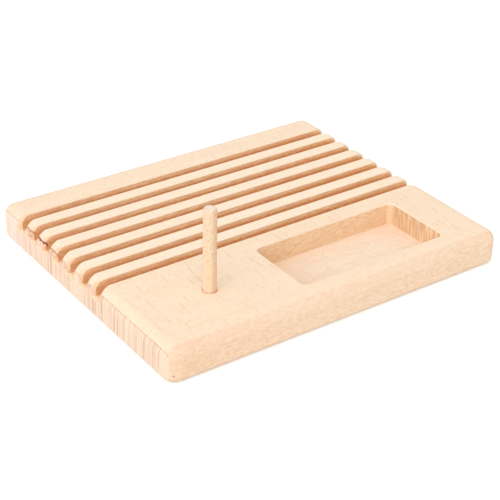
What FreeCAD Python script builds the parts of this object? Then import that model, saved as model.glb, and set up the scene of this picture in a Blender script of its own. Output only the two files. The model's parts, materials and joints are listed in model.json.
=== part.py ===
import FreeCAD, Part
import math
import os
import Sketcher

# Ruler and spool holder: a solid beech board with ruler slots, a small tray and a push-in spool pin.
# Millimetres. X runs along the slots, from the left end to the right, Y from the front to the back
# and Z up. The origin is the centre of the underside.

# Driving dimensions. Each is one cell of the sheet, under its own name.
SIZES = {
    "board_length": 180.0,
    "board_width": 150.0,
    "board_thickness": 16.5,
    "corner_radius": 5.6,
    "top_round": 5.5,
    "bottom_round": 2.5,
    "slot_count": 7,
    "slot_width": 5.0,
    "slot_depth": 7.2,
    "slot_pitch": 11.5,
    "first_slot_from_back": 18.0,
    "slot_mouth_round": 3.2,
    "slot_mouth_past_end": 0.15,
    "slot_edge_round": 0.4,
    "tray_length": 80.0,
    "tray_width": 37.0,
    "tray_depth": 11.1,
    "tray_corner": 3.0,
    "tray_from_right": 24.8,
    "tray_from_front": 11.5,
    "rim_break": 0.4,
    "pin_diameter": 6.0,
    "pin_height": 40.0,
    "pin_seat": 10.0,
    "pin_clearance": 0.05,
    "pin_seat_taper": 0.1,
    "pin_top_round": 1.5,
    "pin_foot_chamfer": 0.8,
    "pin_from_left": 39.5,
    "pin_from_front": 31.0,
}

# How far a cut's outline runs past the face that it opens, so that it leaves no skin there.
OVERRUN = 3.0
# Two places nearer than this are the same place.
SAME = 1e-4
# The corners' radius exceeds the round along the top edge by this at least, or the round can't turn them.
CORNER_SPARE = 0.1

# The points of a sketched edge, as constraints number them, and the origin of a sketch.
START = 1
END = 2
CENTRE = 3
ORIGIN = (-1, 1)

HALF_TURN = math.pi
QUARTER_TURN = math.pi / 2


def make_sheet(doc):
    """The sheet of driving dimensions, a name and a number on each row."""
    sheet = doc.addObject("Spreadsheet::Sheet", "Sizes")
    for row, (name, value) in enumerate(SIZES.items(), start=1):
        sheet.set("A%d" % row, name)
        sheet.set("B%d" % row, str(value))
        sheet.setAlias("B%d" % row, name)
    doc.recompute()
    return sheet


def cell(name):
    """The expression that reads one driving dimension."""
    return "Sizes." + name


def new_sketch(body, name, plane_role, height=None):
    """An empty sketch on one of the body's own planes, lifted by the expression in height."""
    plane = [part for part in body.Origin.OriginFeatures if part.Role == plane_role][0]
    sketch = body.newObject("Sketcher::SketchObject", name)
    sketch.AttachmentSupport = [(plane, "")]
    sketch.MapMode = "FlatFace"
    if height:
        sketch.setExpression(".AttachmentOffset.Base.z", height)
    return sketch


def line(sketch, start, end):
    """A straight edge between two points, given as x, y pairs."""
    return sketch.addGeometry(Part.LineSegment(FreeCAD.Vector(*start, 0), FreeCAD.Vector(*end, 0)), False)


def arc(sketch, centre, radius, start_angle, end_angle):
    """An arc that runs anticlockwise from one angle to the other, in radians."""
    circle = Part.Circle(FreeCAD.Vector(*centre, 0), FreeCAD.Vector(0, 0, 1), radius)
    return sketch.addGeometry(Part.ArcOfCircle(circle, start_angle, end_angle), False)


def dimension(sketch, kind, elements, expression, value):
    """A dimension that is bound to the sheet. It starts at its value, so the solver stays put."""
    index = sketch.addConstraint(Sketcher.Constraint(kind, *elements, value))
    sketch.setExpression("Constraints[%d]" % index, expression)


def join(sketch, kind, first, first_end, second, second_end):
    """Joins the end of one edge to the end of another, as Coincident or Tangent."""
    sketch.addConstraint(Sketcher.Constraint(kind, first, first_end, second, second_end))


def rounded_rectangle(sketch, length, width, radius, left, front):
    """A rectangle with round corners. Each size is a pair: its expression and its value.

    left and front are the distances from its left and front sides to the origin.
    """
    x0, x1 = -left[1], length[1] - left[1]
    y0, y1 = -front[1], width[1] - front[1]
    r = radius[1]
    bottom = line(sketch, (x0 + r, y0), (x1 - r, y0))
    bottom_right = arc(sketch, (x1 - r, y0 + r), r, 3 * QUARTER_TURN, 4 * QUARTER_TURN)
    right = line(sketch, (x1, y0 + r), (x1, y1 - r))
    top_right = arc(sketch, (x1 - r, y1 - r), r, 0, QUARTER_TURN)
    top = line(sketch, (x1 - r, y1), (x0 + r, y1))
    top_left = arc(sketch, (x0 + r, y1 - r), r, QUARTER_TURN, HALF_TURN)
    side = line(sketch, (x0, y1 - r), (x0, y0 + r))
    bottom_left = arc(sketch, (x0 + r, y0 + r), r, HALF_TURN, 3 * QUARTER_TURN)
    loop = [bottom, bottom_right, right, top_right, top, top_left, side, bottom_left]
    for edge, following in zip(loop, loop[1:] + loop[:1]):
        join(sketch, "Tangent", edge, END, following, START)
    for flat in (bottom, top):
        sketch.addConstraint(Sketcher.Constraint("Horizontal", flat))
    for upright in (right, side):
        sketch.addConstraint(Sketcher.Constraint("Vertical", upright))
    for corner in (top_right, top_left, bottom_left):
        sketch.addConstraint(Sketcher.Constraint("Equal", bottom_right, corner))
    dimension(sketch, "Radius", (bottom_right,), radius[0], r)
    dimension(sketch, "DistanceX", (side, START, right, START), length[0], length[1])
    dimension(sketch, "DistanceY", (bottom, START, top, START), width[0], width[1])
    dimension(sketch, "DistanceX", (side, START) + ORIGIN, left[0], left[1])
    dimension(sketch, "DistanceY", (bottom, START) + ORIGIN, front[0], front[1])


def slot_outline(sketch, half_length, width, back_wall_y):
    """The plan of one through slot, a plain strip. Each size is a pair: its expression and its value."""
    h, y1 = half_length[1] + OVERRUN, back_wall_y[1]
    y0 = y1 - width[1]
    front_wall = line(sketch, (-h, y0), (h, y0))
    right_end = line(sketch, (h, y0), (h, y1))
    back_wall = line(sketch, (h, y1), (-h, y1))
    left_end = line(sketch, (-h, y1), (-h, y0))
    loop = [front_wall, right_end, back_wall, left_end]
    for edge, following in zip(loop, loop[1:] + loop[:1]):
        join(sketch, "Coincident", edge, END, following, START)
    for flat in (front_wall, back_wall):
        sketch.addConstraint(Sketcher.Constraint("Horizontal", flat))
    for upright in (right_end, left_end):
        sketch.addConstraint(Sketcher.Constraint("Vertical", upright))
    past_end = "%s + %s" % (half_length[0], OVERRUN)
    dimension(sketch, "DistanceX", (left_end, START) + ORIGIN, past_end, h)
    dimension(sketch, "DistanceX", ORIGIN + (right_end, START), past_end, h)
    dimension(sketch, "DistanceY", (right_end, START, right_end, END), width[0], width[1])
    dimension(sketch, "DistanceY", ORIGIN + (right_end, END), back_wall_y[0], y1)


def end_outline(sketch):
    """The air beside the board's left end, seen from the front: the end's own profile and a loose frame.

    The profile stands a little outside the end and above the top, so that its sweep crosses them.
    """
    size = SIZES
    past = size["slot_mouth_past_end"]
    radius = size["top_round"]
    top = size["board_thickness"]
    low = top - size["slot_depth"]
    x = -size["board_length"] / 2 - past
    z = top - radius + past
    side = line(sketch, (x, low), (x, z))
    shoulder = arc(sketch, (x + radius, z), radius, QUARTER_TURN, HALF_TURN)
    rise = line(sketch, (x + radius, z + radius), (x + radius, top + OVERRUN))
    lid = line(sketch, (x + radius, top + OVERRUN), (x - OVERRUN, top + OVERRUN))
    outside = line(sketch, (x - OVERRUN, top + OVERRUN), (x - OVERRUN, low))
    ledge = line(sketch, (x - OVERRUN, low), (x, low))
    join(sketch, "Tangent", side, END, shoulder, END)
    join(sketch, "Coincident", shoulder, START, rise, START)
    join(sketch, "Coincident", rise, END, lid, START)
    join(sketch, "Coincident", lid, END, outside, START)
    join(sketch, "Coincident", outside, END, ledge, START)
    join(sketch, "Coincident", ledge, END, side, START)
    for flat in (lid, ledge):
        sketch.addConstraint(Sketcher.Constraint("Horizontal", flat))
    for upright in (side, rise, outside):
        sketch.addConstraint(Sketcher.Constraint("Vertical", upright))
    from_middle = "%s / 2 + %s" % (cell("board_length"), cell("slot_mouth_past_end"))
    floor = "%s - %s" % (cell("board_thickness"), cell("slot_depth"))
    pivot = "%s - %s + %s" % (cell("board_thickness"), cell("top_round"), cell("slot_mouth_past_end"))
    lid_height = "%s + %s" % (cell("board_thickness"), OVERRUN)
    dimension(sketch, "Radius", (shoulder,), cell("top_round"), radius)
    dimension(sketch, "DistanceX", (shoulder, CENTRE, rise, START), "0", 0)
    dimension(sketch, "DistanceX", (side, START) + ORIGIN, from_middle, -x)
    dimension(sketch, "DistanceX", (outside, END, side, START), str(OVERRUN), OVERRUN)
    dimension(sketch, "DistanceY", ORIGIN + (side, START), floor, low)
    dimension(sketch, "DistanceY", ORIGIN + (shoulder, CENTRE), pivot, z)
    dimension(sketch, "DistanceY", ORIGIN + (lid, START), lid_height, top + OVERRUN)


def mouth_path(sketch, side, centre_y):
    """Most of a quarter circle in plan, from just outside the board's left end to just inside a slot.

    side is 1 for the slot's back wall and -1 for its front wall. The path stops while it still slants,
    so that the sweep's last face isn't tangent to the ones along it.
    """
    size = SIZES
    radius = size["slot_mouth_round"]
    past = size["slot_mouth_past_end"]
    x = radius - size["board_length"] / 2 - past
    sweep = math.asin(1 - past / 2 / radius)
    angles = (HALF_TURN, HALF_TURN + sweep) if side > 0 else (HALF_TURN - sweep, HALF_TURN)
    end_side, slot_side = (START, END) if side > 0 else (END, START)
    path = arc(sketch, (x, centre_y[1]), radius, *angles)
    past_end = "%s / 2 + %s" % (cell("board_length"), cell("slot_mouth_past_end"))
    dimension(sketch, "Radius", (path,), cell("slot_mouth_round"), radius)
    dimension(sketch, "DistanceX", (path, CENTRE) + ORIGIN, past_end + " - " + cell("slot_mouth_round"), -x)
    dimension(sketch, "DistanceY", ORIGIN + (path, CENTRE), centre_y[0], centre_y[1])
    dimension(sketch, "DistanceY", (path, CENTRE, path, end_side), "0", 0)
    lower, upper = (slot_side, CENTRE) if side > 0 else (CENTRE, slot_side)
    into_slot = "%s - %s / 2" % (cell("slot_mouth_round"), cell("slot_mouth_past_end"))
    dimension(sketch, "DistanceY", (path, lower, path, upper), into_slot, radius - past / 2)


def edges_where(feature, test):
    """The names of the feature's edges that pass a test."""
    edges = feature.Shape.Edges
    return ["Edge%d" % number for number, edge in enumerate(edges, start=1) if test(edge)]


def at_height(edge, height):
    """True for an edge that lies level, at the given height."""
    box = edge.BoundBox
    return abs(box.ZMin - height) < SAME and abs(box.ZMax - height) < SAME


def dress(body, kind, name, base, edge_names, size_property, size_name):
    """Rounds or bevels the named edges of the base feature."""
    feature = body.newObject("PartDesign::" + kind, name)
    feature.Base = (base, edge_names)
    feature.setExpression(size_property, cell(size_name))
    body.Document.recompute()
    return feature


def checked_cut(body, feature, before):
    """Recomputes the body up to this feature, and stops if the feature took no wood away."""
    body.Tip = feature
    body.Document.recompute()
    if not body.Shape.Volume < before:
        raise RuntimeError(feature.Name + " cuts nothing")
    return feature


def cut(body, name, sketch, depth_name):
    """A pocket from the sketch downwards, checked to take wood away."""
    before = body.Shape.Volume
    pocket = body.newObject("PartDesign::Pocket", name)
    pocket.Profile = sketch
    pocket.Type = "Length"
    pocket.setExpression("Length", cell(depth_name))
    return checked_cut(body, pocket, before)


def make_blank(body):
    """The board before any cut: a slab with round corners and round top and bottom edges."""
    size = SIZES
    corner = max(size["corner_radius"], size["top_round"] + CORNER_SPARE)
    corner_cell = "max(%s; %s + %s)" % (cell("corner_radius"), cell("top_round"), CORNER_SPARE)
    sketch = new_sketch(body, "BoardPlan", "XY_Plane")
    rounded_rectangle(
        sketch,
        (cell("board_length"), size["board_length"]),
        (cell("board_width"), size["board_width"]),
        (corner_cell, corner),
        (cell("board_length") + " / 2", size["board_length"] / 2),
        (cell("board_width") + " / 2", size["board_width"] / 2),
    )
    slab = body.newObject("PartDesign::Pad", "Slab")
    slab.Profile = sketch
    slab.setExpression("Length", cell("board_thickness"))
    body.Document.recompute()
    top = edges_where(slab, lambda edge: at_height(edge, size["board_thickness"]))
    rounded_top = dress(body, "Fillet", "TopRound", slab, top, "Radius", "top_round")
    bottom = edges_where(rounded_top, lambda edge: at_height(edge, 0))
    return dress(body, "Fillet", "BottomRound", rounded_top, bottom, "Radius", "bottom_round")


def set_slot_row(pattern, sketch):
    """Spaces a linear pattern as the row of slots, from the first at the back towards the front."""
    pattern.Direction = (sketch, ["V_Axis"])
    pattern.Reversed = True
    pattern.setExpression("Occurrences", cell("slot_count"))
    pattern.setExpression("Length", "%s * (%s - 1)" % (cell("slot_pitch"), cell("slot_count")))


def cut_slots(body):
    """The ruler slots, cut from end to end, the first of them nearest the back, with soft rib edges."""
    size = SIZES
    back_wall = size["board_width"] / 2 - size["first_slot_from_back"]
    back_wall_cell = cell("board_width") + " / 2 - " + cell("first_slot_from_back")
    sketch = new_sketch(body, "SlotPlan", "XY_Plane", cell("board_thickness"))
    slot_outline(
        sketch,
        (cell("board_length") + " / 2", size["board_length"] / 2),
        (cell("slot_width"), size["slot_width"]),
        (back_wall_cell, back_wall),
    )
    slot = cut(body, "Slot", sketch, "slot_depth")
    before = body.Shape.Volume
    pattern = body.newObject("PartDesign::LinearPattern", "Slots")
    pattern.Originals = [slot]
    set_slot_row(pattern, sketch)
    checked_cut(body, pattern, before)
    inner = size["board_width"] / 2 - size["top_round"] - SAME

    def on_rib(edge):
        box = edge.BoundBox
        along_slot = box.YLength < SAME and box.XLength > size["board_length"] / 2
        return along_slot and at_height(edge, size["board_thickness"]) and abs(box.YMin) < inner

    ribs = edges_where(pattern, on_rib)
    dress(body, "Fillet", "RibEdges", pattern, ribs, "Radius", "slot_edge_round")
    open_mouths(body, sketch, (back_wall_cell, back_wall))


def open_mouths(body, row_sketch, back_wall_y):
    """Rounds the ends of the ribs, in plan and over their tops, by sweeping the board's end profile.

    Each slot's walls curve apart at both ends. One slot's left end is cut, mirrored and repeated.
    """
    size = SIZES
    reach = size["slot_mouth_round"] - size["slot_mouth_past_end"]
    reach_cell = "(%s - %s)" % (cell("slot_mouth_round"), cell("slot_mouth_past_end"))
    back = ("%s + %s" % (back_wall_y[0], reach_cell), back_wall_y[1] + reach)
    front = (
        "%s - %s - %s" % (back_wall_y[0], cell("slot_width"), reach_cell),
        back_wall_y[1] - size["slot_width"] - reach,
    )
    mouths = []
    for name, side, centre_y in (("MouthBack", 1, back), ("MouthFront", -1, front)):
        profile = new_sketch(body, name + "Profile", "XZ_Plane", "-(%s)" % centre_y[0])
        end_outline(profile)
        path = new_sketch(body, name + "Path", "XY_Plane")
        mouth_path(path, side, centre_y)
        body.Document.recompute()
        before = body.Shape.Volume
        mouth = body.newObject("PartDesign::SubtractivePipe", name)
        mouth.Profile = profile
        mouth.Spine = (path, ["Edge1"])
        mouth.Mode = "Fixed"
        checked_cut(body, mouth, before)
        mouths.append(mouth)
    before = body.Shape.Volume
    everywhere = body.newObject("PartDesign::MultiTransform", "Mouths")
    everywhere.Originals = mouths
    both_ends = body.newObject("PartDesign::Mirrored", "BothEnds")
    middle = [part for part in body.Origin.OriginFeatures if part.Role == "YZ_Plane"][0]
    both_ends.MirrorPlane = (middle, [""])
    every_slot = body.newObject("PartDesign::LinearPattern", "EverySlot")
    set_slot_row(every_slot, row_sketch)
    everywhere.Transformations = [both_ends, every_slot]
    checked_cut(body, everywhere, before)


def cut_tray(body):
    """The tray for clips and needles, with a straight wall all round, a flat floor and a broken rim."""
    size = SIZES
    left = size["board_length"] / 2 - size["tray_from_right"] - size["tray_length"]
    front = size["tray_from_front"] - size["board_width"] / 2
    left_cell = "-(%s / 2 - %s - %s)" % (cell("board_length"), cell("tray_from_right"), cell("tray_length"))
    front_cell = "-(%s - %s / 2)" % (cell("tray_from_front"), cell("board_width"))
    sketch = new_sketch(body, "TrayPlan", "XY_Plane", cell("board_thickness"))
    rounded_rectangle(
        sketch,
        (cell("tray_length"), size["tray_length"]),
        (cell("tray_width"), size["tray_width"]),
        (cell("tray_corner"), size["tray_corner"]),
        (left_cell, -left),
        (front_cell, -front),
    )
    tray = cut(body, "Tray", sketch, "tray_depth")
    last_slot_front = first_slot_front_y() - (size["slot_count"] - 1) * size["slot_pitch"]

    def on_rim(edge):
        box = edge.BoundBox
        inside = box.XMin > left - SAME and box.YMax < last_slot_front - SAME and box.YMin > front - SAME
        return at_height(edge, size["board_thickness"]) and inside

    return dress(body, "Chamfer", "TrayRim", tray, edges_where(tray, on_rim), "Size", "rim_break")


def first_slot_front_y():
    """The Y of the first slot's front wall."""
    return SIZES["board_width"] / 2 - SIZES["first_slot_from_back"] - SIZES["slot_width"]


def drill_pin_hole(body):
    """The blind, flat-bottomed hole that the pin stands in, with a broken rim."""
    size = SIZES
    radius = size["pin_diameter"] / 2 + size["pin_clearance"]
    x = size["pin_from_left"] - size["board_length"] / 2
    y = size["pin_from_front"] - size["board_width"] / 2
    sketch = new_sketch(body, "PinHolePlace", "XY_Plane", cell("board_thickness"))
    circle = Part.Circle(FreeCAD.Vector(x, y, 0), FreeCAD.Vector(0, 0, 1), radius)
    rim = sketch.addGeometry(circle, False)
    diameter = cell("pin_diameter") + " + 2 * " + cell("pin_clearance")
    across = cell("board_length") + " / 2 - " + cell("pin_from_left")
    along = cell("board_width") + " / 2 - " + cell("pin_from_front")
    dimension(sketch, "Diameter", (rim,), diameter, 2 * radius)
    dimension(sketch, "DistanceX", (rim, CENTRE) + ORIGIN, across, -x)
    dimension(sketch, "DistanceY", (rim, CENTRE) + ORIGIN, along, -y)
    body.Document.recompute()
    before = body.Shape.Volume
    hole = body.newObject("PartDesign::Hole", "PinHole")
    hole.Profile = sketch
    body.Document.recompute()
    hole.Threaded = False
    hole.DepthType = "Dimension"
    hole.DrillPoint = "Flat"
    hole.setExpression("Diameter", diameter)
    hole.setExpression("Depth", cell("pin_seat"))
    checked_cut(body, hole, before)

    def on_rim(edge):
        centre = edge.BoundBox.Center
        near = abs(centre.x - x) < SAME and abs(centre.y - y) < SAME
        return near and at_height(edge, size["board_thickness"])

    return dress(body, "Chamfer", "PinHoleRim", hole, edges_where(hole, on_rim), "Size", "rim_break")


def make_board(doc):
    """The board, cut from one piece of beech."""
    body = doc.addObject("PartDesign::Body", "Board")
    body.Label = "board"
    make_blank(body)
    cut_slots(body)
    cut_tray(body)
    drill_pin_hole(body)
    return body


def make_pin(doc):
    """The turned pin, standing on the floor of its hole. Its own origin is the middle of its foot.

    The part in the hole tapers a little towards the foot, so that the pin wedges in by hand.
    """
    size = SIZES
    body = doc.addObject("PartDesign::Body", "SpoolPin")
    body.Label = "spool_pin"
    r = size["pin_diameter"] / 2
    deep = size["pin_seat"]
    tall = deep + size["pin_height"]
    thin = r - size["pin_seat_taper"]
    c = size["pin_foot_chamfer"]
    f = size["pin_top_round"]
    sketch = new_sketch(body, "PinProfile", "XZ_Plane")
    foot = line(sketch, (0, 0), (thin - c, 0))
    bevel = line(sketch, (thin - c, 0), (thin, c))
    seat = line(sketch, (thin, c), (r, deep))
    shank = line(sketch, (r, deep), (r, tall - f))
    shoulder = arc(sketch, (r - f, tall - f), f, 0, QUARTER_TURN)
    crown = line(sketch, (r - f, tall), (0, tall))
    axis = line(sketch, (0, tall), (0, 0))
    join(sketch, "Coincident", foot, END, bevel, START)
    join(sketch, "Coincident", bevel, END, seat, START)
    join(sketch, "Coincident", seat, END, shank, START)
    join(sketch, "Tangent", shank, END, shoulder, START)
    join(sketch, "Tangent", shoulder, END, crown, START)
    join(sketch, "Coincident", crown, END, axis, START)
    join(sketch, "Coincident", axis, END, foot, START)
    sketch.addConstraint(Sketcher.Constraint("Coincident", foot, START, *ORIGIN))
    for flat in (foot, crown):
        sketch.addConstraint(Sketcher.Constraint("Horizontal", flat))
    for upright in (shank, axis):
        sketch.addConstraint(Sketcher.Constraint("Vertical", upright))
    radius = cell("pin_diameter") + " / 2"
    full_height = cell("pin_seat") + " + " + cell("pin_height")
    dimension(sketch, "DistanceX", ORIGIN + (shank, START), radius, r)
    dimension(sketch, "DistanceY", ORIGIN + (shank, START), cell("pin_seat"), deep)
    dimension(sketch, "DistanceX", (seat, START, seat, END), cell("pin_seat_taper"), r - thin)
    dimension(sketch, "DistanceY", ORIGIN + (axis, START), full_height, tall)
    dimension(sketch, "DistanceX", (bevel, START, bevel, END), cell("pin_foot_chamfer"), c)
    dimension(sketch, "DistanceY", (bevel, START, bevel, END), cell("pin_foot_chamfer"), c)
    dimension(sketch, "Radius", (shoulder,), cell("pin_top_round"), f)
    turned = body.newObject("PartDesign::Revolution", "TurnedPin")
    turned.Profile = sketch
    turned.ReferenceAxis = (sketch, ["V_Axis"])
    turned.Angle = 360
    across = cell("pin_from_left") + " - " + cell("board_length") + " / 2"
    along = cell("pin_from_front") + " - " + cell("board_width") + " / 2"
    body.setExpression(".Placement.Base.x", across)
    body.setExpression(".Placement.Base.y", along)
    body.setExpression(".Placement.Base.z", cell("board_thickness") + " - " + cell("pin_seat"))
    doc.recompute()
    return body


def check(doc, bodies):
    """Stops the build if an object failed, or a piece isn't one sound solid."""
    for item in doc.Objects:
        if "Invalid" in item.State or "Error" in item.State:
            raise RuntimeError(item.Name + " failed: " + ", ".join(item.State))
    for body in bodies:
        shape = body.Shape
        if shape.isNull() or not shape.isValid() or len(shape.Solids) != 1:
            raise RuntimeError(body.Label + " isn't one sound solid")


def main():
    doc = FreeCAD.newDocument("RulerAndSpoolHolder")
    make_sheet(doc)
    bodies = [make_board(doc), make_pin(doc)]
    doc.recompute()
    check(doc, bodies)
    os.makedirs("parts", exist_ok=True)
    for body in bodies:
        body.Shape.exportStep("parts/%s.step" % body.Label)
        box = body.Shape.BoundBox
        corners = (box.XMin, box.XMax, box.YMin, box.YMax, box.ZMin, box.ZMax)
        print(body.Label, "volume %.1f" % body.Shape.Volume, "box", ["%.2f" % value for value in corners])


main()
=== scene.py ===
"""Looks of the ruler and spool holder: a solid beech board with slots and a tray, and a beech pin."""
import json
import math
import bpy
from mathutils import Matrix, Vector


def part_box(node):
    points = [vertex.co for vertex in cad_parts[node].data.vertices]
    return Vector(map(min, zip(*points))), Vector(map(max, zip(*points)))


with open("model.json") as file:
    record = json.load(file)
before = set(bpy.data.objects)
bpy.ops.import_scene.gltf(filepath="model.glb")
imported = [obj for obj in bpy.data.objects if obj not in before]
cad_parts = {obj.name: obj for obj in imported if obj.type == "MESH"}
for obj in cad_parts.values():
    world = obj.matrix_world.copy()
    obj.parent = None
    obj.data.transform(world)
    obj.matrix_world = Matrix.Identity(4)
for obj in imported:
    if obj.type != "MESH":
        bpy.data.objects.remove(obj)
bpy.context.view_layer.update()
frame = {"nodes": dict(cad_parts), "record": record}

from types import SimpleNamespace

import bpy
from mathutils import Matrix, Vector

MM = 0.001

# The camera, fitted to the board's outline, its slots and its tray. Lengths are in mm, angles in degrees.
CAMERA_AZIMUTH = -35.77
CAMERA_ELEVATION = 30.43
CAMERA_ROLL = 1.29
CAMERA_DISTANCE = 622.5
CAMERA_TARGET = (-10.42, -17.12, 10.0)
FOCAL_PIXELS = 1361.7
PHOTO_PIXELS = 500
SENSOR_WIDTH = 36.0

# The lamp, a large square panel that is aimed at the part, in metres and watts.
LAMP_PLACE = (-1.39, -0.99, 1.48)
LAMP_SIDE = 3.2
LAMP_POWER = 31.0
# The surroundings: their grey, and their strength as light and as the camera sees them.
SURROUND_GREY = 0.8
SURROUND_LIGHT = 0.98
SURROUND_SEEN = 1.0
# The floor: half its side and its drop below the part, in metres, its grey, and the glow that whitens it.
FLOOR_HALF = 3.0
FLOOR_DROP = 0.0001
FLOOR_GREY = 0.8
FLOOR_GLOW = 0.35

# The wood's surface: its roughness, its shine and its fine relief, whose height is in mm.
ROUGHNESS = 0.6
SHINE = 0.25
RELIEF_STRENGTH = 0.5
RELIEF_HEIGHT = 0.04

# How much narrower the record's openings are than the slots and the tray, on each side, in mm.
SLOT_SPARE = 0.2
TRAY_SPARE = 1.0
# How far inside the board's ends the painted shade of the slot walls gives way to the paler mouths, in mm.
WALL_INSET = 2.2
# How far the rib tips reach in from the board's left end, in mm, and how many of the ribs are torn,
# counted from the back.
TIP_LENGTH = 3.0
TORN_RIBS = 3
# The plane along which they are torn: a place on it, below the top and in from the left end, in mm,
# and its slope.
TEAR_BELOW_TOP = 3.2
TEAR_INSET = 2.0
TEAR_SLOPE = 1.15
# The knot: its place from the board's lower front left corner, and its radius, in mm.
KNOT_FROM_CORNER = (2.3, 1.1, 3.9)
KNOT_RADIUS = 0.7
# How far endward the surface faces where the sawn end begins and is full, and where the arris lies.
SAWN = (0.80, 0.87)
ARRIS = (0.83, 0.87)
# The direction of the pin's painted shade, to the right as the camera sees it.
PIN_SHADED_SIDE = (0.81, -0.58)
# How far apart noise starts on its three axes, so that no two of them run alike.
AXIS_STEP = 7.3


def linear(red, green, blue):
    """A colour written as 0 to 255, as a scene-linear RGBA."""
    parts = [value / 255 for value in (red, green, blue)]
    return tuple(p / 12.92 if p <= 0.04045 else ((p + 0.055) / 1.055) ** 2.4 for p in parts) + (1.0,)


# The top.
PALE_WOOD = linear(254, 231, 204)
CLOUD_WOOD = linear(253, 228, 200)
WARM_WOOD = linear(249, 219, 184)
PINK_WOOD = linear(247, 216, 188)
RAY_WOOD = linear(226, 176, 134)
# The front and the back.
FRONT_RIGHT = linear(251, 222, 190)
FRONT_LEFT = linear(249, 211, 177)
FRONT_DASH = linear(238, 192, 152)
FRONT_FIBRE = linear(232, 180, 136)
FRONT_LIGHT = linear(255, 239, 213)
FRONT_TURN = linear(234, 202, 176)
# The sawn ends.
END_FRONT = linear(253, 225, 200)
END_BACK = linear(254, 240, 228)
END_LAYER = linear(251, 217, 196)
END_RING = linear(255, 236, 206)
END_MOTTLE = linear(246, 210, 186)
RING_LINE = linear(190, 138, 106)
ARRIS_BROWN = linear(214, 152, 110)
# The slots and the ribs. The slot wall colours are painted shade, deepening towards the floor, over the
# sawn walls' own slightly darker tone.
# Painted shade: the slot walls from their lit top edge down to the shaded depth, and paler towards the
# right ends.
SLOT_SHADE_EDGE = linear(254, 218, 178)
SLOT_SHADE_UPPER_LEFT = linear(251, 207, 163)
SLOT_SHADE_UPPER = linear(255, 232, 192)
SLOT_SHADE_LOWER_LEFT = linear(230, 176, 122)
SLOT_SHADE_LOWER = linear(236, 172, 112)
SLOT_SHADE_RIGHT = linear(246, 194, 134)
# Painted bounce light and shade: the deep slot walls turn orange.
SLOT_BOUNCE_ORANGE = linear(236, 166, 98)
WALL_DASH = linear(208, 146, 98)
WALL_STREAK = linear(212, 150, 102)
WALL_MOTTLE = linear(255, 222, 176)
# Painted highlight: the rib tops paler than the rest of the top.
RIB_TOP_HIGHLIGHT = linear(255, 244, 222)
RIB_CHIP = linear(214, 146, 120)
TEAR_BROWN = linear(172, 88, 52)
TEAR_DARK = linear(132, 58, 34)
# Painted light: the slot floors paler, as where they are lit in the open mouths.
SLOT_FLOOR_LIGHT = linear(255, 240, 208)
# The tray.
TRAY_BACK_LOW = linear(244, 216, 182)
TRAY_BACK_HIGH = linear(248, 219, 184)
TRAY_BACK_DASH = linear(226, 178, 134)
TRAY_BACK_FIBRE = linear(224, 172, 124)
TRAY_END_FRONT = linear(252, 221, 186)
TRAY_END_BACK = linear(239, 206, 169)
TRAY_STRIPE = linear(214, 164, 120)
TRAY_CORNER = linear(252, 226, 194)
TRAY_FLOOR = linear(254, 248, 238)
TRAY_FLOOR_LEFT = linear(242, 218, 200)
TRAY_FLOOR_DASH = linear(244, 206, 176)
TRAY_FLOOR_STREAK = linear(242, 202, 170)
# Painted highlight along the tray's rim.
TRAY_RIM_HIGHLIGHT = linear(255, 240, 216)
KNOT_BROWN = linear(190, 118, 80)
# The pin.
PIN_WOOD = linear(252, 228, 198)
PIN_CLOUD = linear(249, 220, 188)
PIN_LINE = linear(240, 202, 164)
PIN_STREAK = linear(232, 190, 152)
PIN_FLECK = linear(210, 160, 120)
PIN_SHADE = linear(222, 178, 136)
PIN_CROWN = linear(248, 224, 210)
PIN_CROWN_LINE = linear(224, 186, 166)
# Painted contact shade low on the pin, next to the board.
PIN_FOOT_SHADE = linear(206, 160, 118)


class Signal:
    """One output of a material's node, with arithmetic that adds math nodes."""

    def __init__(self, graph, socket):
        self.graph = graph
        self.socket = socket

    def __add__(self, other):
        return self.graph.math("ADD", self, other)

    def __radd__(self, other):
        return self.graph.math("ADD", other, self)

    def __sub__(self, other):
        return self.graph.math("SUBTRACT", self, other)

    def __rsub__(self, other):
        return self.graph.math("SUBTRACT", other, self)

    def __mul__(self, other):
        return self.graph.math("MULTIPLY", self, other)


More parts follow.
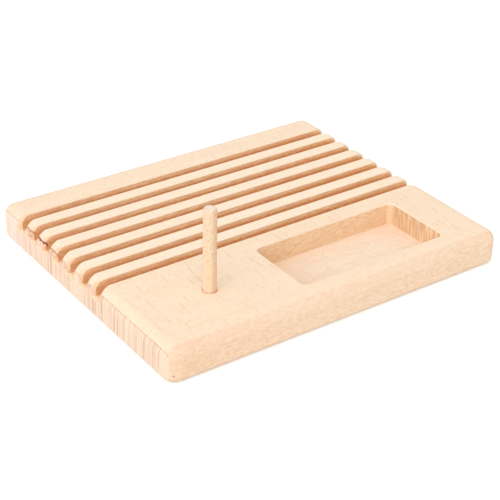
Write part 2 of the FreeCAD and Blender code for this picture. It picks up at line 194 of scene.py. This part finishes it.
class Graph:
    """A material's node tree, built by short calls."""

    def __init__(self, name):
        self.material = bpy.data.materials.new(name)
        self.material.use_nodes = True
        self.tree = self.material.node_tree
        self.tree.nodes.clear()

    def node(self, kind, **settings):
        """A new node with the given settings."""
        node = self.tree.nodes.new(kind)
        for name, value in settings.items():
            setattr(node, name, value)
        return node

    def feed(self, value, socket):
        """Links a signal to a socket, or sets the socket to a plain value."""
        if isinstance(value, Signal):
            self.tree.links.new(value.socket, socket)
        else:
            socket.default_value = value

    def math(self, operation, *values):
        """One math operation on signals or plain numbers."""
        node = self.node("ShaderNodeMath", operation=operation)
        for value, socket in zip(values, node.inputs):
            self.feed(value, socket)
        return Signal(self, node.outputs[0])

    def smooth(self, value, low, high):
        """A smooth step: 0 where value is at low or beyond it, 1 at high."""
        node = self.node("ShaderNodeMapRange", interpolation_type="SMOOTHSTEP", clamp=True)
        self.feed(value, node.inputs["Value"])
        self.feed(low, node.inputs["From Min"])
        self.feed(high, node.inputs["From Max"])
        return Signal(self, node.outputs["Result"])

    def band(self, value, low, high, soft):
        """1 where value lies from low to high, and falling to 0 over a soft margin outside."""
        return self.smooth(value, low - soft, low) * self.smooth(value, high + soft, high)

    def split(self, vector):
        """The three parts of a vector."""
        node = self.node("ShaderNodeSeparateXYZ")
        self.feed(vector, node.inputs[0])
        return [Signal(self, output) for output in node.outputs]

    def point(self, x, y, z):
        """The vector of three parts."""
        node = self.node("ShaderNodeCombineXYZ")
        for value, socket in zip((x, y, z), node.inputs):
            self.feed(value, socket)
        return Signal(self, node.outputs[0])

    def noise(self, place, sizes, seed, detail=1.0, roughness=0.5):
        """Noise from 0 to 1 whose cells measure sizes along the three axes of place, in mm."""
        scaled = [axis * (1.0 / size) + (seed + AXIS_STEP * index)
                  for index, (axis, size) in enumerate(zip(place, sizes))]
        node = self.node("ShaderNodeTexNoise")
        self.feed(self.point(*scaled), node.inputs["Vector"])
        node.inputs["Scale"].default_value = 1.0
        node.inputs["Detail"].default_value = detail
        node.inputs["Roughness"].default_value = roughness
        return Signal(self, node.outputs["Fac"])

    def mix(self, share, first, second):
        """A colour between first and second, which are colours too; share 0 gives the first."""
        node = self.node("ShaderNodeMix", data_type="RGBA", clamp_factor=True)
        self.feed(share, node.inputs["Factor"])
        self.feed(first, node.inputs["A"])
        self.feed(second, node.inputs["B"])
        return Signal(self, node.outputs["Result"])

    def coat(self, colour, figure, coats, within=1.0):
        """Lays coats over a colour that follow the wood's figure, inside the mask named within.

        Each coat is a signal's name, the values where it begins and is full, a share and a colour.
        """
        for name, low, high, share, paint in coats:
            colour = self.mix(self.smooth(figure[name], low, high) * within * share, colour, paint)
        return colour


def place_in_mm(graph):
    """The three coordinates of the shaded point in the part's own frame, in mm."""
    source = graph.node("ShaderNodeTexCoord")
    return [axis * (1.0 / MM) for axis in graph.split(Signal(graph, source.outputs["Object"]))]


def facing(graph):
    """The three parts of the surface's own direction."""
    source = graph.node("ShaderNodeTexCoord")
    return graph.split(Signal(graph, source.outputs["Normal"]))


def beech(graph, along, radial, tangential, seed):
    """The figure of beech, as signals from 0 to 1. Its rings are layers across the radial axis.

    The rays are thin sheets that stand along the radial axis and lie along the grain.
    """
    place = (along, radial, tangential)
    warp = graph.noise(place, (70.0, 18.0, 22.0), seed, detail=2.0)
    ripple = graph.noise(place, (22.0, 5.0, 9.0), seed + 3.0)
    depth = radial + (warp - 0.5) * 5.0 + (ripple - 0.5) * 1.0 + tangential * 0.10 + along * 0.006
    layers = (depth, along, tangential)
    straight = (radial + (warp - 0.5) * 1.6 + tangential * 0.04, along, tangential)
    return {
        "ring": graph.noise(layers, (4.6, 300.0, 60.0), seed + 5.0),
        "layer": graph.noise(layers, (6.0, 400.0, 200.0), seed + 8.0, detail=2.0),
        "line": graph.noise(straight, (0.72, 400.0, 80.0), seed + 41.0, detail=0.0),
        "dash": graph.noise(place, (3.6, 0.9, 0.55), seed + 37.0),
        "speck": graph.noise(place, (1.0, 0.8, 0.8), seed + 53.0, detail=0.0),
        "streak": graph.noise(place, (7.0, 0.4, 0.3), seed + 11.0, detail=2.0, roughness=0.6),
        "fibre": graph.noise(place, (3.0, 0.5, 0.4), seed + 17.0),
        "ray": graph.noise(place, (1.3, 9.0, 0.24), seed + 23.0, detail=0.0),
        "cloud": graph.noise(place, (45.0, 16.0, 16.0), seed + 29.0, detail=2.0),
        "mottle": graph.noise(place, (2.6, 2.0, 1.4), seed + 31.0, detail=3.0, roughness=0.65),
    }


def finish_surface(graph, colour, height):
    """Adds the wood's shader with its fine relief and gives the material."""
    shader = graph.node("ShaderNodeBsdfPrincipled")
    graph.feed(colour, shader.inputs["Base Color"])
    shader.inputs["Roughness"].default_value = ROUGHNESS
    shader.inputs["Specular IOR Level"].default_value = SHINE
    bump = graph.node("ShaderNodeBump")
    bump.inputs["Strength"].default_value = RELIEF_STRENGTH
    bump.inputs["Distance"].default_value = RELIEF_HEIGHT * MM
    graph.feed(height, bump.inputs["Height"])
    graph.tree.links.new(bump.outputs["Normal"], shader.inputs["Normal"])
    output = graph.node("ShaderNodeOutputMaterial")
    graph.tree.links.new(shader.outputs[0], output.inputs["Surface"])
    return graph.material


def board_plan():
    """The board's places in mm, from its box and from the mounts and openings of the part's record."""
    low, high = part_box("board")
    mounts = {item["name"]: item["pos_m"] for item in frame["record"]["mounts"]}
    openings = {item["name"]: item["box_m"] for item in frame["record"]["physics"]["openings"]}
    centres = sorted(place[1] / MM for name, place in mounts.items() if name.startswith("ruler_slot"))
    slot, tray = openings["ruler_slot_1"], openings["tray"]
    return SimpleNamespace(
        end=high.x / MM,
        front=low.y / MM,
        back=high.y / MM,
        top=high.z / MM,
        front_slot=centres[0],
        back_slot=centres[-1],
        slot_pitch=(centres[-1] - centres[0]) / (len(centres) - 1),
        slot_half=(slot[1][1] - slot[0][1]) / 2 / MM + SLOT_SPARE,
        slot_floor=mounts["ruler_slot_1_floor"][2] / MM,
        tray_left=tray[0][0] / MM - TRAY_SPARE,
        tray_right=tray[1][0] / MM + TRAY_SPARE,
        tray_front=tray[0][1] / MM - TRAY_SPARE,
        tray_back=tray[1][1] / MM + TRAY_SPARE,
        tray_floor=mounts["tray_floor"][2] / MM,
    )


def board_material():
    """The board's wood, with the grain along the slots and the rings from the front to the back."""
    graph = Graph("beech_board")
    place = x, y, z = place_in_mm(graph)
    normal = facing(graph)
    plan = board_plan()
    figure = beech(graph, x, y, z, seed=4.0)
    colour = face_grain(graph, figure, normal, x, y)
    colour = end_grain(graph, figure, normal, y, plan, colour)
    colour = slot_walls(graph, figure, place, plan, colour)
    colour = rib_ends(graph, normal, place, plan, colour)
    colour = tray_walls(graph, figure, normal, place, plan, colour)
    colour = knot(graph, place, plan, colour)
    height = figure["streak"] * 0.4 + figure["fibre"] * 0.4 - graph.smooth(figure["ray"], 0.6, 0.7) * 0.2
    return finish_surface(graph, colour, height)


def face_grain(graph, figure, normal, x, y):
    """The long faces: quiet on top, where rays are cross flecks, and full of fine dashes in front."""
    top = graph.mix(graph.smooth(figure["cloud"], 0.3, 0.7), PALE_WOOD, CLOUD_WOOD)
    top = graph.coat(top, figure, (
        ("layer", 0.4, 0.75, 0.35, WARM_WOOD),
        ("ring", 0.5, 0.8, 0.2, WARM_WOOD),
        ("streak", 0.5, 0.8, 0.25, PINK_WOOD),
        ("mottle", 0.45, 0.65, 0.4, PINK_WOOD),
    ))
    fleck = graph.smooth(figure["ray"], 0.66, 0.78)
    top = graph.mix(fleck * (0.14 + graph.smooth(y, 10.0, -30.0) * 0.1), top, RAY_WOOD)
    top = graph.coat(top, figure, (("speck", 0.70, 0.77, 0.35, RAY_WOOD),))
    front = graph.mix(graph.smooth(x, -20.0, -85.0), FRONT_RIGHT, FRONT_LEFT)
    front = graph.coat(front, figure, (
        ("dash", 0.46, 0.62, 0.36, FRONT_DASH),
        ("fibre", 0.47, 0.63, 0.46, FRONT_FIBRE),
        ("mottle", 0.52, 0.38, 0.4, FRONT_LIGHT),
    ))
    sideways = graph.math("ABSOLUTE", normal[1])
    front = graph.mix(graph.band(sideways, 0.4, 0.86, 0.13) * 0.38, front, FRONT_TURN)
    return graph.mix(graph.smooth(sideways, 0.0, 0.55) * 0.8, top, front)


def end_grain(graph, figure, normal, y, plan, colour):
    """The sawn ends, pinker, with the rings as thin lines, up to the brown arris of the rounded edge."""
    endward = graph.math("ABSOLUTE", normal[0])
    to_back = graph.smooth(y, plan.back - 40.0, plan.back)
    end = graph.mix(to_back, END_FRONT, END_BACK)
    end = graph.coat(end, figure, (
        ("layer", 0.36, 0.6, 0.5, END_LAYER),
        ("ring", 0.5, 0.62, 0.35, END_RING),
    ))
    line = graph.smooth(figure["line"], 0.58, 0.64) * graph.smooth(figure["cloud"], 0.15, 0.6)
    end = graph.mix(line * (0.5 - to_back * 0.3), end, RING_LINE)
    end = graph.coat(end, figure, (("mottle", 0.48, 0.75, 0.2, END_MOTTLE),))
    colour = graph.mix(graph.smooth(endward, *SAWN), colour, end)
    arris = graph.band(endward, *ARRIS, 0.03) * graph.smooth(normal[2], 0.3, 0.4)
    broken = graph.smooth(figure["line"], 0.35, 0.65) * graph.smooth(figure["dash"], 0.4, 0.6)
    return graph.mix(arris * (0.25 + broken * 0.45), colour, ARRIS_BROWN)


def nearest_slot(graph, y, plan):
    """The distance from the nearest slot's middle plane, positive behind it."""
    steps = (plan.back_slot - plan.front_slot) / plan.slot_pitch
    number = graph.math("ROUND", (y - plan.front_slot) * (1.0 / plan.slot_pitch))
    number = graph.math("MINIMUM", graph.math("MAXIMUM", number, 0.0), steps)
    return y - (number * plan.slot_pitch + plan.front_slot)


def slot_walls(graph, figure, place, plan, colour):
    """Painted shade on the slot walls, darker and oranger with depth, and a painted highlight on the rib
    tops.
    """
    x, y, z = place
    from_middle = graph.math("ABSOLUTE", nearest_slot(graph, y, plan))
    from_end = plan.end - graph.math("ABSOLUTE", x)
    above_floor = graph.smooth(z, plan.slot_floor - 0.2, plan.slot_floor)
    on_wall = graph.smooth(from_middle, plan.slot_half + 0.2, plan.slot_half + 0.08) * above_floor
    on_wall = on_wall * graph.smooth(from_end, WALL_INSET - 0.1, WALL_INSET + 0.1)
    depth = (plan.top - z) * (1.0 / (plan.top - plan.slot_floor))
    from_left = graph.smooth(x, -plan.end + 15.0, -plan.end + 75.0)
    # Painted shade: the slot wall colours darken from the top edge down towards the floor.
    upper = graph.mix(from_left, SLOT_SHADE_UPPER_LEFT, SLOT_SHADE_UPPER)
    lower = graph.mix(from_left, SLOT_SHADE_LOWER_LEFT, SLOT_SHADE_LOWER)
    wall = graph.mix(graph.smooth(depth, 0.06, 0.22), SLOT_SHADE_EDGE, upper)
    wall = graph.mix(graph.smooth(depth, 0.26 - from_left * 0.07, 0.48 - from_left * 0.08), wall, lower)
    wall = graph.mix(graph.smooth(x, 10.0, 85.0) * 0.3, wall, SLOT_SHADE_RIGHT)
    # Painted bounce light and shade: the deeper walls turn orange.
    orange = graph.smooth(x, -20.0, 70.0) * graph.smooth(depth, 0.12, 0.3)
    orange = orange * graph.smooth(y, plan.front_slot, plan.front_slot + 2.0 * plan.slot_pitch)
    wall = graph.mix(orange * 0.45, wall, SLOT_BOUNCE_ORANGE)
    wall = graph.coat(wall, figure, (
        ("dash", 0.47, 0.62, 0.22, WALL_DASH),
        ("streak", 0.42, 0.6, 0.5, WALL_STREAK),
        ("mottle", 0.5, 0.65, 0.35, WALL_MOTTLE),
    ))
    colour = graph.mix(on_wall * graph.smooth(depth, 0.0, 0.06), colour, wall)
    # Painted highlight over the rib tops.
    rib_highlight = graph.band(y, plan.front_slot, plan.back_slot, 0.2) * graph.smooth(depth, 0.08, 0.04)
    return graph.mix(rib_highlight * 0.35, colour, RIB_TOP_HIGHLIGHT)


def rib_ends(graph, normal, place, plan, colour):
    """The left tips of the ribs, torn on the back three, and painted light that makes the slot floors
    paler, as seen in the mouths of the slots.
    """
    x, y, z = place
    above_floor = graph.smooth(z, plan.slot_floor, plan.slot_floor + 0.3)
    tips = graph.smooth(x, -plan.end + TIP_LENGTH + 0.6, -plan.end + TIP_LENGTH) * above_floor
    tips = tips * graph.band(y, plan.front_slot, plan.back_slot, 0.2)
    torn_from = plan.back_slot - TORN_RIBS * plan.slot_pitch
    torn = graph.smooth(y, torn_from - 0.5, torn_from)
    middle = graph.band(y, torn_from + plan.slot_pitch, torn_from + 2 * plan.slot_pitch, 0.5)
    wobble = graph.noise((y, x, z), (1.8, 4.0, 9.0), seed=71.0, detail=3.0, roughness=0.7)
    rough = graph.noise((y, x, z), (1.1, 2.0, 1.5), seed=77.0, detail=3.0, roughness=0.7)
    tear_place = (z - plan.top + TEAR_BELOW_TOP) + (x + plan.end - TEAR_INSET) * TEAR_SLOPE
    over_tear = tear_place + (wobble - 0.5) * 3.2
    width = (rough - 0.3) * 2.2 + middle * 0.3
    line = graph.smooth(graph.math("ABSOLUTE", over_tear), width + 0.35, width * 0.5)
    chips = graph.band(over_tear, -3.8, -0.8, 0.6) * graph.smooth(rough, 0.48, 0.56)
    colour = graph.mix(tips * chips * (0.4 + torn * 0.2), colour, RIB_CHIP)
    tear = graph.mix(middle, TEAR_BROWN, TEAR_DARK)
    colour = graph.mix(tips * line * torn * (0.7 + middle * 0.2), colour, tear)
    # Painted light: the upward-facing slot floors made paler.
    floor = graph.band(z, plan.slot_floor - 0.1, plan.slot_floor + 0.1, 0.1)
    return graph.mix(floor * graph.smooth(normal[2], 0.7, 0.9) * 0.7, colour, SLOT_FLOOR_LIGHT)


def tray_walls(graph, figure, normal, place, plan, colour):
    """The milled tray: warm at the back, striped at the ends, with lines on its floor and a painted
    highlight along its rim.
    """
    x, y, z = place
    inside = graph.band(x, plan.tray_left, plan.tray_right, 0.3)
    inside = inside * graph.band(y, plan.tray_front, plan.tray_back, 0.3)
    upright = 1.0 - graph.smooth(normal[2], 0.2, 0.6)
    endward = graph.math("ABSOLUTE", normal[0])

    to_top = graph.smooth(z, plan.tray_floor + 1.1, plan.top - 3.0)
    back_wall = graph.coat(graph.mix(to_top, TRAY_BACK_LOW, TRAY_BACK_HIGH), figure, (
        ("dash", 0.44, 0.62, 0.48, TRAY_BACK_DASH),
        ("fibre", 0.46, 0.66, 0.38, TRAY_BACK_FIBRE),
    ))
    slanted = graph.noise((y - z * 0.12, z, x), (1.1, 14.0, 50.0), seed=47.0, detail=2.0, roughness=0.65)
    to_back = graph.smooth(y, plan.tray_front + 6.0, plan.tray_back - 6.0)
    end_wall = graph.mix(to_back, TRAY_END_FRONT, TRAY_END_BACK)
    end_wall = graph.mix(graph.smooth(slanted, 0.42, 0.6) * 0.65, end_wall, TRAY_STRIPE)
    wall = graph.mix(graph.smooth(endward, 0.8, 0.95), back_wall, end_wall)
    wall = graph.mix(graph.band(endward, 0.3, 0.85, 0.15) * 0.5, wall, TRAY_CORNER)
    colour = graph.mix(inside * upright, colour, wall)

    floor = inside * graph.smooth(z, plan.tray_floor + 0.4, plan.tray_floor + 0.2)
    to_left = graph.smooth(x, plan.tray_left + 38.0, plan.tray_left + 5.0)
    colour = graph.mix(floor * 0.3, colour, graph.mix(to_left, TRAY_FLOOR, TRAY_FLOOR_LEFT))
    colour = graph.coat(colour, figure, (
        ("dash", 0.5, 0.68, 0.3, TRAY_FLOOR_DASH),
        ("streak", 0.5, 0.62, 0.4, TRAY_FLOOR_STREAK),
    ), within=floor)
    # Painted highlight: a pale line along the tray's rim.
    rim = inside * graph.smooth(z, plan.top - 0.5, plan.top - 0.35) * graph.smooth(normal[2], 0.97, 0.85)
    return graph.mix(rim * 0.7, colour, TRAY_RIM_HIGHLIGHT)


def knot(graph, place, plan, colour):
    """The one small knot, low on the front left corner."""
    corner = (-plan.end, plan.front, 0.0)
    apart = [axis - (start + offset) for axis, start, offset in zip(place, corner, KNOT_FROM_CORNER)]
    squares = [axis * axis for axis in apart]
    distance = graph.math("SQRT", squares[0] + squares[1] + squares[2])
    return graph.mix(graph.smooth(distance, KNOT_RADIUS, KNOT_RADIUS * 0.4) * 0.7, colour, KNOT_BROWN)


def pin_material():
    """The turned pin, streaked and flecked along its length, with painted shade on one side, painted
    contact shade next to the board, and a pink crown.
    """
    graph = Graph("beech_pin")
    x, y, z = place_in_mm(graph)
    normal = facing(graph)
    board_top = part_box("board")[1].z / MM
    figure = beech(graph, z, x, y, seed=61.0)
    colour = graph.mix(graph.smooth(figure["cloud"], 0.3, 0.75), PIN_WOOD, PIN_CLOUD)
    colour = graph.coat(colour, figure, (
        ("line", 0.45, 0.65, 0.35, PIN_LINE),
        ("streak", 0.48, 0.7, 0.5, PIN_STREAK),
    ))
    fleck = graph.noise((z, x, y), (1.4, 0.6, 0.6), seed=83.0)
    colour = graph.mix(graph.smooth(fleck, 0.56, 0.66) * 0.4, colour, PIN_FLECK)
    # Painted shade on the pin's right side.
    shaded = graph.smooth(normal[0] * PIN_SHADED_SIDE[0] + normal[1] * PIN_SHADED_SIDE[1], 0.0, 0.65)
    colour = graph.mix(shaded * 0.5, colour, PIN_SHADE)
    crown = graph.smooth(normal[2], 0.6, 0.95)
    colour = graph.mix(crown * 0.8, colour, PIN_CROWN)
    colour = graph.coat(colour, figure, (("line", 0.5, 0.6, 0.4, PIN_CROWN_LINE),), within=crown)
    # Painted contact shade: the pin darker just above the board.
    foot_shade = graph.smooth(z, board_top + 1.0, board_top + 0.1)
    colour = graph.mix(foot_shade * 0.25, colour, PIN_FOOT_SHADE)
    return finish_surface(graph, colour, figure["streak"] * 0.5)


def dress(node, material):
    """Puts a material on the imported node."""
    item = frame["nodes"][node]
    item.data.materials.clear()
    item.data.materials.append(material)


def backdrop_material():
    """White for the camera and for reflections, and a plain pale surface that takes shadows."""
    graph = Graph("white_floor")
    surface = graph.node("ShaderNodeBsdfDiffuse")
    surface.inputs["Color"].default_value = (FLOOR_GREY, FLOOR_GREY, FLOOR_GREY, 1.0)
    light_path = graph.node("ShaderNodeLightPath")
    seen, glossy, clear = (Signal(graph, light_path.outputs[name])
                           for name in ("Is Camera Ray", "Is Glossy Ray", "Is Transmission Ray"))
    share = graph.math("MAXIMUM", graph.math("MAXIMUM", seen, glossy), clear)
    glow = graph.node("ShaderNodeEmission")
    graph.feed(share * FLOOR_GLOW, glow.inputs["Strength"])
    both = graph.node("ShaderNodeAddShader")
    graph.tree.links.new(surface.outputs[0], both.inputs[0])
    graph.tree.links.new(glow.outputs[0], both.inputs[1])
    output = graph.node("ShaderNodeOutputMaterial")
    graph.tree.links.new(both.outputs[0], output.inputs["Surface"])
    return graph.material


def make_floor():
    """One large white sheet under the part."""
    corners = [(x * FLOOR_HALF, y * FLOOR_HALF, 0.0) for x, y in ((-1, -1), (1, -1), (1, 1), (-1, 1))]
    mesh = bpy.data.meshes.new("floor")
    mesh.from_pydata(corners, [], [(0, 1, 2, 3)])
    mesh.materials.append(backdrop_material())
    floor = bpy.data.objects.new("floor", mesh)
    floor.location.z = -FLOOR_DROP
    bpy.context.scene.collection.objects.link(floor)


def make_surroundings():
    """The pale world, a little weaker as light than as the camera sees it."""
    world = bpy.data.worlds.new("studio")
    world.use_nodes = True
    bpy.context.scene.world = world
    tree = world.node_tree
    tree.nodes.clear()
    light_path = tree.nodes.new("ShaderNodeLightPath")
    blend = tree.nodes.new("ShaderNodeMixShader")
    tree.links.new(light_path.outputs["Is Camera Ray"], blend.inputs[0])
    for strength, socket in ((SURROUND_LIGHT, blend.inputs[1]), (SURROUND_SEEN, blend.inputs[2])):
        background = tree.nodes.new("ShaderNodeBackground")
        background.inputs["Color"].default_value = (SURROUND_GREY, SURROUND_GREY, SURROUND_GREY, 1.0)
        background.inputs["Strength"].default_value = strength
        tree.links.new(background.outputs[0], socket)
    output = tree.nodes.new("ShaderNodeOutputWorld")
    tree.links.new(blend.outputs[0], output.inputs["Surface"])


def make_lamp():
    """One large soft panel, aimed at the part."""
    lamp = bpy.data.lights.new("soft_box", "AREA")
    lamp.shape = "RECTANGLE"
    lamp.size = LAMP_SIDE
    lamp.size_y = LAMP_SIDE
    lamp.energy = LAMP_POWER
    item = bpy.data.objects.new("soft_box", lamp)
    item.location = LAMP_PLACE
    item.rotation_euler = (-Vector(LAMP_PLACE)).to_track_quat("-Z", "Y").to_euler()
    bpy.context.scene.collection.objects.link(item)


def make_camera():
    """The camera of the photo, as it was fitted."""
    azimuth, elevation, roll = (math.radians(a) for a in (CAMERA_AZIMUTH, CAMERA_ELEVATION, CAMERA_ROLL))
    right = Vector((math.cos(azimuth), math.sin(azimuth), 0))
    forward = Vector((-math.sin(azimuth) * math.cos(elevation),
                      math.cos(azimuth) * math.cos(elevation),
                      -math.sin(elevation)))
    up = right.cross(forward)
    rolled_right = math.cos(roll) * right + math.sin(roll) * up
    rolled_up = -math.sin(roll) * right + math.cos(roll) * up
    data = bpy.data.cameras.new("camera")
    data.sensor_width = SENSOR_WIDTH
    data.lens = FOCAL_PIXELS * SENSOR_WIDTH / PHOTO_PIXELS
    camera = bpy.data.objects.new("camera", data)
    turn = Matrix((rolled_right, rolled_up, -forward)).transposed().to_4x4()
    place = (Vector(CAMERA_TARGET) - forward * CAMERA_DISTANCE) * MM
    camera.matrix_world = Matrix.Translation(place) @ turn
    bpy.context.scene.collection.objects.link(camera)
    bpy.context.scene.camera = camera


dress("board", board_material())
dress("spool_pin", pin_material())
make_floor()
make_surroundings()
make_lamp()
make_camera()
bpy.context.scene.view_settings.view_transform = "Standard"
